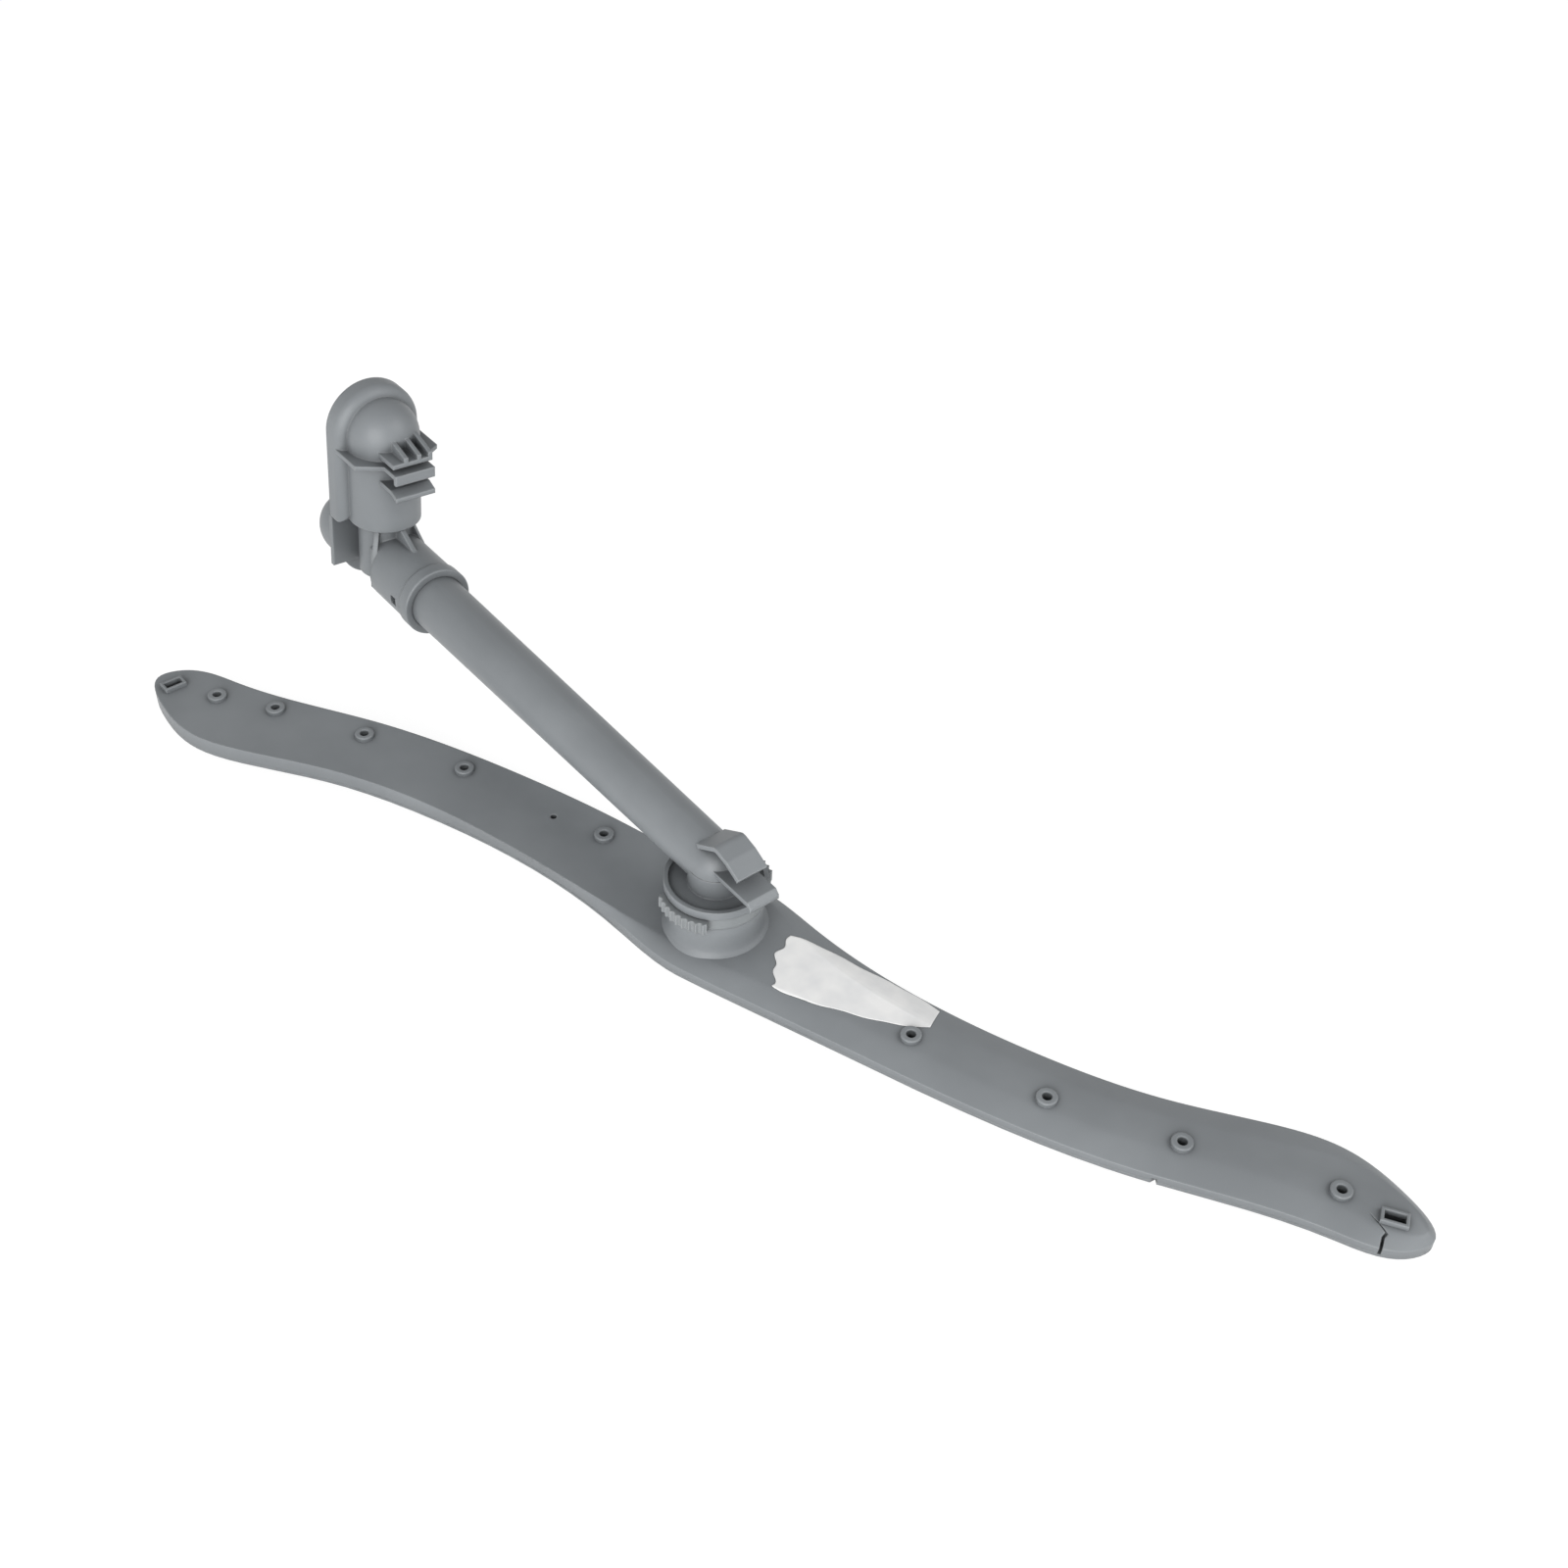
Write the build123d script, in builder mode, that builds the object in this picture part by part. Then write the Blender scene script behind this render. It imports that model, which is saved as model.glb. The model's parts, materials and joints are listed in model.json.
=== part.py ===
"""Dishwasher spray arm: a rear inlet dock, a feed pipe and an S-shaped arm that spins on the pipe's hub.

The frame has +Z up along the spin axis and +X along the feed pipe, from the dock to the hub.
The origin is the centre of the dock's inlet mouth. All sizes are in millimetres.
"""
import os
from math import cos, radians, sin, sqrt

from build123d import *

os.makedirs("parts", exist_ok=True)

# Inlet dock
MOUTH_BORE = 22.0
MOUTH_WALL = 1.6
MOUTH_STUB = 3.0
HOOD_WIDTH = 33.0
HOOD_DEPTH = 8.5
HOOD_WALL = 1.8
HOOD_EDGE = 4.0
HOOD_FOOT = 34.0
DOME_RADIUS = 13.0
RISER_FROM_HOOD = 10.0
RISER_BORE = 19.6
SKIRT_FOOT = 33.0
DOCK_TWIST = 5.0

# Rack-wire clip on the dock
SHELF_WIDTH = 32.6
SHELF_THICK = 1.6
SHELF_DROP = 5.8
SHELF_REACH = 9.5
DOCK_CLIP_WIDTH = 15.4
DOCK_CLIP_REACH = 22.5
CLIP_LEAF = 1.6
CLIP_LIP = 3.8
WIRE_GAP = 3.4
HOOK_GAP = 2.0
HOOK_RIB = 7.0

# Elbow body below the hood
DOCK_RISE = 50.0
SLEEVE_DIAMETER = 24.8
SLEEVE_PAST_RISER = 24.0
SLEEVE_TO_BEAD = 36.5
BEAD_WIDTH = 5.0
BEAD_HEIGHT = 0.6
NECK_WALL = 1.8
NECK_CLEARANCE = 0.15
NECK_OVERLAP = 14.0
WEB_THICK = 1.8
WEB_BACK = 10.0
FIN_ANGLE = 46.0
FIN_REACH = 17.0
KEEL_REACH = 21.2
POCKET_FRONT = 10.5
POCKET_CORE = 8.0
WEB_DEPTH = 5.0
WATERWAY = 15.0
SNAP_WINDOW = 3.4

# Feed pipe
PIPE_LENGTH = 201.0
PIPE_DOCK_DIAMETER = 20.4
PIPE_HUB_DIAMETER = 17.4
PIPE_WALL = 1.8
PIPE_SOCKET = 24.0
PIPE_CLEARANCE = 0.1
SEAL_SECTION = 2.4

# Hub end of the feed pipe
FLANGE_DIAMETER = 32.8
FLANGE_THICK = 1.5
FLANGE_RIM = 3.0
FLANGE_DROP = 8.8
SPIGOT_DIAMETER = 18.0
HUB_CLIP_WIDTH = 11.0
HUB_SEAT_REACH = 24.0
HUB_SEAT_RISE = 3.8
HUB_LEAF_REACH = 18.0
HUB_LEAF_RISE = 14.2
HUB_LEAF_END = 9.4

# Bearing between pipe and arm
RUNNING_CLEARANCE = 0.06
FACE_CLEARANCE = 0.4
RING_DIAMETER = 31.6
RING_HEIGHT = 4.2
RING_SLEEVE_WALL = 2.4
RING_SLEEVE = 6.0
GRIP_REACH = 2.2
GRIP_FROM = 225.0
GRIP_SWEEP = 66.0
GRIP_RIBS = 9
COLLAR_WALL = 3.2
COLLAR_HEIGHT = 3.5

# Spray arm
ARM_ANGLE = 23.0
ARM_REACH = 231.0
HUB_HALF_WIDTH = 22.0
BELLY = 25.7
WAIST = 2.7
PADDLE = 15.0
BELL_HEIGHT = 11.9
SHOULDER_WIDTH = 9.0
SHOULDER_DROP = 2.5
SIDE_WALL = 2.7
SHELL = 1.8
LIP_HEIGHT = 0.9
TRAY_INSET = 6.0
TRAY_DEPTH_HUB = 4.2
TRAY_DEPTH_TIP = 1.2
TRAY_FLAT = 45.0
BOSS_DIAMETER = 6.6
BOSS_HEIGHT = 1.6
JET_DIAMETER = 3.0
SLOT_LENGTH = 6.0
SLOT_WIDTH = 3.0
SLOT_RIM = 1.0
DRAIN_DIAMETER = 2.2
CRACK_WIDTH = 0.9
CHIP_WIDTH = 4.0

# Places worked out from the driving dimensions
twist_sin = sin(radians(DOCK_TWIST))
twist_cos = cos(radians(DOCK_TWIST))
dock_side = Vector(0, twist_cos, -twist_sin)
dock_up = Vector(0, twist_sin, twist_cos)
riser_x = MOUTH_STUB + RISER_FROM_HOOD
hub_x = riser_x + PIPE_LENGTH
pipe_centre = dock_up * -DOCK_RISE
sleeve_radius = SLEEVE_DIAMETER / 2
sleeve_end_x = riser_x + SLEEVE_TO_BEAD
socket_x = sleeve_end_x - PIPE_SOCKET
neck_radius = RISER_BORE / 2 - NECK_CLEARANCE
hood_radius = HOOD_WIDTH / 2
pipe_hub_radius = PIPE_HUB_DIAMETER / 2
pipe_dock_radius = PIPE_DOCK_DIAMETER / 2
flange_z = pipe_centre.Z - FLANGE_DROP
ring_top_z = flange_z - FACE_CLEARANCE
ring_foot_z = ring_top_z - RING_HEIGHT
arm_top_z = ring_foot_z - BELL_HEIGHT
spigot_radius = SPIGOT_DIAMETER / 2
ring_bore = spigot_radius + RUNNING_CLEARANCE
ring_sleeve_radius = ring_bore + RING_SLEEVE_WALL
sleeve_foot_z = ring_foot_z - RING_SLEEVE
collar_top_z = sleeve_foot_z - FACE_CLEARANCE
spigot_foot_z = collar_top_z - COLLAR_HEIGHT
wall_top_z = arm_top_z - SHOULDER_DROP
seam_z = wall_top_z - SIDE_WALL
hub_point = Vector(hub_x, pipe_centre.Y, 0)
arm_along = (cos(radians(ARM_ANGLE)), sin(radians(ARM_ANGLE)), 0)
arm_across = (-sin(radians(ARM_ANGLE)), cos(radians(ARM_ANGLE)), 0)


def dock_face(x):
    """Upright plane across the dock at one x, with the twisted side and up directions."""
    return Plane(origin=(x, 0, 0), x_dir=dock_side, z_dir=(1, 0, 0))


def dock_level(rise):
    """Level plane of the twisted dock on the riser's axis, at a rise over the mouth's centre."""
    return Plane(origin=Vector(riser_x, 0, 0) + dock_up * rise, x_dir=(1, 0, 0), z_dir=dock_up)


def dock_section(side):
    """Plane along the dock, seen from its side, with x forward and y up from the riser and mouth."""
    return Plane(origin=Vector(riser_x, 0, 0) + dock_side * side, x_dir=(1, 0, 0), z_dir=-dock_side)


def riser_section(angle):
    """Upright plane through the riser's axis, turned from the pipe's direction, with y up from the pipe's axis."""
    outwards = Vector(1, 0, 0).rotate(Axis((0, 0, 0), dock_up), angle)
    return Plane(origin=Vector(riser_x, 0, 0) + pipe_centre, x_dir=outwards, z_dir=outwards.cross(dock_up))


def pipe_section(x):
    """Plane across the pipe's axis at one x."""
    return Plane(origin=(x, pipe_centre.Y, pipe_centre.Z), x_dir=(0, 1, 0), z_dir=(1, 0, 0))


def pipe_side():
    """Upright plane along the pipe, with x from the hub outwards and y up from the pipe's axis."""
    start = (hub_x, pipe_centre.Y, pipe_centre.Z)
    return Plane(origin=start, x_dir=(1, 0, 0), z_dir=(0, -1, 0))


def hub_level(z):
    """Level plane centred on the spin axis, along the pipe."""
    return Plane(origin=(hub_x, pipe_centre.Y, z), x_dir=(1, 0, 0), z_dir=(0, 0, 1))


def arm_level(z):
    """Level plane centred on the spin axis, along the arm."""
    return Plane(origin=(hub_x, pipe_centre.Y, z), x_dir=arm_along, z_dir=(0, 0, 1))


def arm_side():
    """Upright plane through the spin axis, along the arm."""
    back = (-arm_across[0], -arm_across[1], 0)
    return Plane(origin=(hub_x, pipe_centre.Y, 0), x_dir=arm_along, z_dir=back)


# Share of the shoulder's full width at each point of the edge, on the wing with shoulders and on the plain one
SHOULDER_SHARES = (0.7, 0.9, 1, 1, 1, 0.8, 0.5, 0.6, 1, 1, 1, 1, 0.8, 0.5)
PLAIN_SHARES = (0.5, 0, 0, 0, 0, 0, 0, 0, 0, 0, 0, 0, 0.2, 0.7)


def half_outline(inset, shares):
    """One wing's edge from the hub's near side round the tip to its far side, moved in by inset and shoulder.

    Each row is a share of the reach, the edge's offset from the arm's centre line and the way inwards.
    """
    rows = (
        (0.000, -HUB_HALF_WIDTH, 0, 1),
        (0.195, -(HUB_HALF_WIDTH + BELLY) / 2, 0, 1),
        (0.410, -BELLY, 0, 1),
        (0.650, -0.89 * BELLY, -0.1, 1),
        (0.890, -0.58 * BELLY, -0.2, 1),
        (0.985, -0.39 * BELLY, -0.7, 0.7),
        (1.003, -0.16 * BELLY, -1, 0),
        (0.957, 0.50 * PADDLE, -0.7, -0.7),
        (0.857, PADDLE, 0, -1),
        (0.770, 0.82 * PADDLE, 0.2, -1),
        (0.650, (PADDLE + WAIST) / 3, 0.1, -1),
        (0.468, WAIST, 0, -1),
        (0.130, 0.63 * HUB_HALF_WIDTH, -0.3, -1),
        (0.000, HUB_HALF_WIDTH, 0, -1),
    )
    moves = [inset + share * SHOULDER_WIDTH for share in shares]
    return [(f * ARM_REACH + u * move, y + v * move) for (f, y, u, v), move in zip(rows, moves)]


def closed_arm(right, left):
    """Closed face of the whole arm from one wing's edge and the other's, which is turned half a turn."""
    turned = [(-x, -y) for x, y in left]
    with BuildSketch() as outline:
        with BuildLine():
            Spline(*right, tangents=[(1, -0.06), (-1, 0.06)])
            Spline(*turned, tangents=[(-1, 0.06), (1, -0.06)])
        make_face()
    return outline.sketch


def arm_face(inset):
    """Face of the arm's whole outline, moved in by inset all round."""
    level = [0] * len(PLAIN_SHARES)
    return closed_arm(half_outline(inset, level), half_outline(inset, level))


def top_face(inset):
    """Face of the arm's flat top between the shoulders, moved in by inset all round."""
    return closed_arm(half_outline(inset, SHOULDER_SHARES), half_outline(inset, PLAIN_SHARES))


def leaf_profile(spine):
    """Side view of a sprung strip: a bent spine with round corners, thickened to its right."""
    with BuildSketch() as strip:
        with BuildLine():
            edge = FilletPolyline(*spine, radius=2 * CLIP_LEAF)
            offset(edge, amount=CLIP_LEAF, side=Side.RIGHT)
        make_face()
    return strip.sketch


# Inlet hood: tombstone hood with the mouth behind, a round elbow in front and the rack-wire clip
with BuildPart() as inlet_hood:
    with BuildSketch(dock_face(MOUTH_STUB)):
        Circle(hood_radius)
        with Locations((0, -HOOD_FOOT / 2)):
            Rectangle(HOOD_WIDTH, HOOD_FOOT)
    extrude(amount=HOOD_DEPTH)
    fillet(inlet_hood.faces().sort_by(Axis.X)[-1].edges(), HOOD_EDGE)
    with BuildSketch(dock_level(0)):
        Circle(DOME_RADIUS)
    extrude(amount=-SKIRT_FOOT)
    with Locations((riser_x, 0, 0)):
        Sphere(DOME_RADIUS)
    with BuildSketch(dock_face(MOUTH_STUB)):
        Circle(hood_radius - HOOD_WALL)
        with Locations((0, -HOOD_FOOT / 2)):
            Rectangle(HOOD_WIDTH - 2 * HOOD_WALL, HOOD_FOOT - 2 * HOOD_WALL)
    extrude(amount=HOOD_DEPTH - HOOD_WALL, mode=Mode.SUBTRACT)
    with BuildSketch(dock_face(0)):
        Circle(MOUTH_BORE / 2 + MOUTH_WALL)
    extrude(amount=riser_x)
    with BuildSketch(dock_level(-SHELF_DROP)):
        with BuildLine():
            Polyline(
                (-RISER_FROM_HOOD + HOOD_DEPTH - HOOD_EDGE, SHELF_WIDTH / 2),
                (SHELF_REACH, SHELF_WIDTH / 2),
                (DOME_RADIUS + CLIP_LEAF, DOCK_CLIP_WIDTH / 2),
                (DOCK_CLIP_REACH, DOCK_CLIP_WIDTH / 2),
                (DOCK_CLIP_REACH, -DOCK_CLIP_WIDTH / 2),
                (DOME_RADIUS + CLIP_LEAF, -DOCK_CLIP_WIDTH / 2),
                (SHELF_REACH, -SHELF_WIDTH / 2),
                (-RISER_FROM_HOOD + HOOD_DEPTH - HOOD_EDGE, -SHELF_WIDTH / 2),
                close=True,
            )
        make_face()
    extrude(amount=SHELF_THICK)
    with BuildSketch(dock_section(0)):
        with Locations((DOCK_CLIP_REACH - CLIP_LEAF / 2, -SHELF_DROP + SHELF_THICK - CLIP_LIP / 2)):
            Rectangle(CLIP_LEAF, CLIP_LIP)
    extrude(amount=DOCK_CLIP_WIDTH / 2, both=True)
    lower_leaf_top = -SHELF_DROP + SHELF_THICK - CLIP_LIP - WIRE_GAP
    with BuildSketch(dock_section(0)):
        with BuildLine():
            Polyline(
                (DOME_RADIUS - HOOD_WALL, lower_leaf_top),
                (DOCK_CLIP_REACH - CLIP_LIP, lower_leaf_top),
                (DOCK_CLIP_REACH, lower_leaf_top - CLIP_LEAF),
                (DOCK_CLIP_REACH, lower_leaf_top - 2 * CLIP_LEAF),
                (DOCK_CLIP_REACH - CLIP_LIP, lower_leaf_top - CLIP_LEAF),
                (DOME_RADIUS - HOOD_WALL, lower_leaf_top - CLIP_LEAF),
                close=True,
            )
        make_face()
    extrude(amount=DOCK_CLIP_WIDTH / 2, both=True)
    hook_foot = -SHELF_DROP + SHELF_THICK + HOOK_GAP
    with BuildSketch(dock_level(hook_foot)):
        with Locations((DOCK_CLIP_REACH - CLIP_LEAF, 0)):
            Rectangle(DOME_RADIUS, DOCK_CLIP_WIDTH, align=(Align.MAX, Align.CENTER))
    extrude(amount=CLIP_LEAF)
    for side in (-DOCK_CLIP_WIDTH / 6, DOCK_CLIP_WIDTH / 6, (DOCK_CLIP_WIDTH - SHELF_THICK) / 2):
        with BuildSketch(dock_section(side)):
            with BuildLine():
                Polyline(
                    (DOME_RADIUS / 2, hook_foot),
                    (DOCK_CLIP_REACH - CLIP_LEAF, hook_foot),
                    (DOCK_CLIP_REACH - CLIP_LEAF, hook_foot + 2 * CLIP_LEAF),
                    (DOME_RADIUS / 2, hook_foot + HOOK_RIB),
                    close=True,
                )
            make_face()
        extrude(amount=SHELF_THICK / 2, both=True)
    with BuildSketch(dock_face(0)):
        Circle(MOUTH_BORE / 2)
    extrude(amount=riser_x, mode=Mode.SUBTRACT)
    with BuildSketch(dock_level(0)):
        Circle(RISER_BORE / 2)
    extrude(amount=-HOOD_FOOT, mode=Mode.SUBTRACT)
inlet_hood.part.label = "inlet_hood"

# Elbow body: sleeve with a round end, neck that stands in the hood, webs and cored pockets
with BuildPart() as elbow_body:
    with BuildSketch(pipe_section(riser_x - SLEEVE_PAST_RISER)):
        Circle(sleeve_radius)
    extrude(amount=SLEEVE_PAST_RISER + SLEEVE_TO_BEAD)
    with Locations((riser_x - SLEEVE_PAST_RISER, pipe_centre.Y, pipe_centre.Z)):
        Sphere(sleeve_radius)
    with BuildSketch(pipe_section(sleeve_end_x - BEAD_WIDTH)):
        Circle(sleeve_radius + BEAD_HEIGHT)
    extrude(amount=BEAD_WIDTH)
    chamfer(elbow_body.edges().filter_by(GeomType.CIRCLE).group_by(Axis.X)[-1], BEAD_HEIGHT / 2)
    for side in (-1, 1):
        with BuildSketch(dock_level(-DOCK_RISE)):
            with Locations((-WEB_BACK, side * POCKET_CORE / 2)):
                Rectangle(WEB_BACK + POCKET_FRONT / 2, sleeve_radius, align=(Align.MIN, Align.CENTER))
            with Locations((-WEB_BACK, side * (WATERWAY + sleeve_radius) / 2 + side * NECK_WALL)):
                Rectangle(WEB_BACK + POCKET_FRONT, sleeve_radius, align=(Align.MIN, Align.CENTER))
        extrude(amount=sleeve_radius, both=True, mode=Mode.SUBTRACT)
    with BuildSketch(dock_level(-DOCK_RISE - WEB_DEPTH)):
        with Locations((-WEB_BACK, 0)):
            Rectangle(WEB_THICK, HOOD_WIDTH)
    extrude(amount=DOCK_RISE + WEB_DEPTH - HOOD_FOOT - NECK_CLEARANCE)
    fin_top = DOCK_RISE - SKIRT_FOOT - NECK_CLEARANCE
    for angle in (-FIN_ANGLE, FIN_ANGLE):
        with BuildSketch(riser_section(angle)):
            with BuildLine():
                Polyline((0, 0), (FIN_REACH, 0), (neck_radius, fin_top), (0, fin_top), close=True)
            make_face()
        extrude(amount=WEB_THICK / 2, both=True)
    with BuildSketch(riser_section(0)):
        with BuildLine():
            Polyline((0, 0), (KEEL_REACH, 0), (KEEL_REACH, sleeve_radius), (DOME_RADIUS, fin_top), (0, fin_top), close=True)
        make_face()
    extrude(amount=WEB_THICK / 2, both=True)
    with BuildSketch(dock_level(-DOCK_RISE - WEB_DEPTH)):
        Circle(neck_radius)
    extrude(amount=DOCK_RISE + WEB_DEPTH - SKIRT_FOOT + NECK_OVERLAP)
    with BuildSketch(dock_level(-DOCK_RISE)):
        Circle(neck_radius - NECK_WALL)
    extrude(amount=DOCK_RISE, mode=Mode.SUBTRACT)
    with BuildSketch(pipe_section(socket_x)):
        Circle(pipe_dock_radius + PIPE_CLEARANCE)
    extrude(amount=PIPE_SOCKET, mode=Mode.SUBTRACT)
    with BuildSketch(pipe_section(riser_x)):
        Circle(WATERWAY / 2)
    extrude(amount=SLEEVE_TO_BEAD, mode=Mode.SUBTRACT)
    with BuildSketch(Plane(origin=(0, pipe_centre.Y, 0), x_dir=(1, 0, 0), z_dir=(0, -1, 0))):
        with Locations((sleeve_end_x - BEAD_WIDTH - 1.5 * SNAP_WINDOW, pipe_centre.Z)):
            Rectangle(SNAP_WINDOW, SNAP_WINDOW)
    extrude(amount=SLEEVE_DIAMETER, both=True, mode=Mode.SUBTRACT)
elbow_body.part.label = "elbow_body"

# Feed pipe: drafted tube with a round nose, the dished hub flange, the spigot and the hub's wire clip
with BuildPart() as feed_pipe:
    seal_x = socket_x + 2 * SEAL_SECTION
    with BuildSketch(pipe_side()):
        with BuildLine():
            Polyline(
                (socket_x + NECK_CLEARANCE - hub_x, 0),
                (socket_x + NECK_CLEARANCE - hub_x, pipe_dock_radius),
                (sleeve_end_x - hub_x, pipe_dock_radius),
                (0, pipe_hub_radius),
                (0, 0),
                close=True,
            )
        make_face()
    revolve(axis=Axis((0, pipe_centre.Y, pipe_centre.Z), (1, 0, 0)))
    with Locations((hub_x, pipe_centre.Y, pipe_centre.Z)):
        Sphere(pipe_hub_radius)
    with BuildSketch(hub_level(flange_z)):
        Circle(FLANGE_DIAMETER / 2)
    extrude(amount=FLANGE_THICK)
    with BuildSketch(hub_level(flange_z)):
        Circle(FLANGE_DIAMETER / 2)
        Circle(FLANGE_DIAMETER / 2 - FLANGE_THICK, mode=Mode.SUBTRACT)
    extrude(amount=FLANGE_RIM)
    with BuildSketch(hub_level(flange_z)):
        Circle(spigot_radius)
    extrude(amount=pipe_centre.Z - flange_z)
    with BuildSketch(hub_level(spigot_foot_z)):
        Circle(spigot_radius)
    extrude(amount=flange_z - spigot_foot_z)
    with BuildSketch(pipe_side()):
        with BuildLine():
            Polyline(
                (0, HUB_SEAT_RISE),
                (HUB_SEAT_REACH - CLIP_LEAF, HUB_SEAT_RISE),
                (HUB_SEAT_REACH, HUB_SEAT_RISE - CLIP_LEAF),
                (HUB_SEAT_REACH, HUB_SEAT_RISE - 2 * CLIP_LEAF),
                (HUB_SEAT_REACH - CLIP_LEAF, HUB_SEAT_RISE - CLIP_LEAF),
                (0, HUB_SEAT_RISE - CLIP_LEAF),
                close=True,
            )
        make_face()
    extrude(amount=HUB_CLIP_WIDTH / 2, both=True)
    leaf_root = (-2 * CLIP_LEAF, pipe_hub_radius)
    leaf_crest = (HUB_LEAF_REACH / 3, HUB_LEAF_RISE)
    leaf_bend = (2 * HUB_LEAF_REACH / 3, HUB_LEAF_RISE - CLIP_LEAF)
    leaf_end = (HUB_LEAF_REACH, HUB_LEAF_END)
    with BuildSketch(pipe_side()):
        add(leaf_profile([leaf_root, leaf_crest, leaf_bend, leaf_end]))
    extrude(amount=HUB_CLIP_WIDTH / 2, both=True)
    with BuildSketch(pipe_side()):
        with BuildLine():
            Polyline(
                (socket_x - hub_x, 0),
                (socket_x - hub_x, pipe_dock_radius - PIPE_WALL),
                (sleeve_end_x - hub_x, pipe_dock_radius - PIPE_WALL),
                (0, pipe_hub_radius - PIPE_WALL),
                (pipe_hub_radius - 2 * PIPE_WALL, 0),
                close=True,
            )
        make_face()
    revolve(axis=Axis((0, pipe_centre.Y, pipe_centre.Z), (1, 0, 0)), mode=Mode.SUBTRACT)
    with BuildSketch(hub_level(spigot_foot_z)):
        Circle(pipe_hub_radius - PIPE_WALL)
    extrude(amount=pipe_centre.Z - spigot_foot_z, mode=Mode.SUBTRACT)
    with BuildSketch(pipe_section(seal_x)):
        Circle(pipe_dock_radius + SEAL_SECTION)
        Circle(pipe_dock_radius - SEAL_SECTION / 2, mode=Mode.SUBTRACT)
    extrude(amount=SEAL_SECTION, mode=Mode.SUBTRACT)
feed_pipe.part.label = "feed_pipe"

# Pipe seal: ring in the pipe's groove that seals against the sleeve
with BuildPart() as pipe_seal:
    with BuildSketch(pipe_section(seal_x)):
        Circle(pipe_dock_radius + PIPE_CLEARANCE)
        Circle(pipe_dock_radius - SEAL_SECTION / 2, mode=Mode.SUBTRACT)
    extrude(amount=SEAL_SECTION)
pipe_seal.part.label = "pipe_seal"

# Snap collar: ring on the spigot's foot that keeps the arm from dropping off
with BuildPart() as snap_collar:
    with BuildSketch(hub_level(spigot_foot_z)):
        Circle(spigot_radius + COLLAR_WALL)
        Circle(spigot_radius, mode=Mode.SUBTRACT)
    extrude(amount=COLLAR_HEIGHT)
    chamfer(snap_collar.edges().group_by(Axis.Z)[0].sort_by(SortBy.RADIUS)[-1], COLLAR_WALL / 4)
snap_collar.part.label = "snap_collar"

# Hub ring: bearing bush of the arm, with ribbed grips on opposite sides
with BuildPart() as hub_ring:
    with BuildSketch(arm_level(ring_foot_z)):
        Circle(RING_DIAMETER / 2)
        for start in (GRIP_FROM, GRIP_FROM + 180):
            with BuildLine():
                CenterArc((0, 0), RING_DIAMETER / 2 + GRIP_REACH, start, GRIP_SWEEP)
                Line(
                    Vector(RING_DIAMETER / 2 + GRIP_REACH, 0).rotate(Axis.Z, start + GRIP_SWEEP),
                    Vector(0, 0),
                )
                Line(Vector(0, 0), Vector(RING_DIAMETER / 2 + GRIP_REACH, 0).rotate(Axis.Z, start))
            make_face()
            with PolarLocations(
                RING_DIAMETER / 2 + GRIP_REACH,
                GRIP_RIBS,
                start_angle=start + GRIP_SWEEP / (2 * GRIP_RIBS),
                angular_range=GRIP_SWEEP,
                endpoint=False,
            ):
                RegularPolygon(GRIP_REACH / 3, 4)
    extrude(amount=RING_HEIGHT)
    with BuildSketch(arm_level(sleeve_foot_z)):
        Circle(ring_sleeve_radius)
    extrude(amount=RING_SLEEVE)
    with BuildSketch(arm_level(sleeve_foot_z)):
        Circle(ring_bore)
    extrude(amount=RING_SLEEVE + RING_HEIGHT, mode=Mode.SUBTRACT)
hub_ring.part.label = "hub_ring"

# Places along the arm, each a point on its top face in the arm's own axes
boss_points = [
    (-0.893 * ARM_REACH, 5.0),
    (-0.798 * ARM_REACH, 10.0),
    (-0.645 * ARM_REACH, 14.6),
    (-0.472 * ARM_REACH, 17.6),
    (-0.219 * ARM_REACH, 14.2),
    (0.324 * ARM_REACH, -12.6),
    (0.517 * ARM_REACH, -14.0),
    (0.690 * ARM_REACH, -9.6),
    (0.884 * ARM_REACH, -2.9),
]
slot_places = [
    Location((-0.968 * ARM_REACH, 2.0, 0), (0, 0, 68)),
    Location((0.952 * ARM_REACH, -4.6, 0), (0, 0, 10)),
]
drain_point = (-0.304 * ARM_REACH, 13.8)
crack_path = [
    (0.923 * ARM_REACH, -5.8),
    (0.947 * ARM_REACH, -9.6),
    (0.945 * ARM_REACH, -11.0),
    (0.956 * ARM_REACH, -BELLY),
]
chip_point = (0.677 * ARM_REACH, -0.88 * BELLY)

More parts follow.
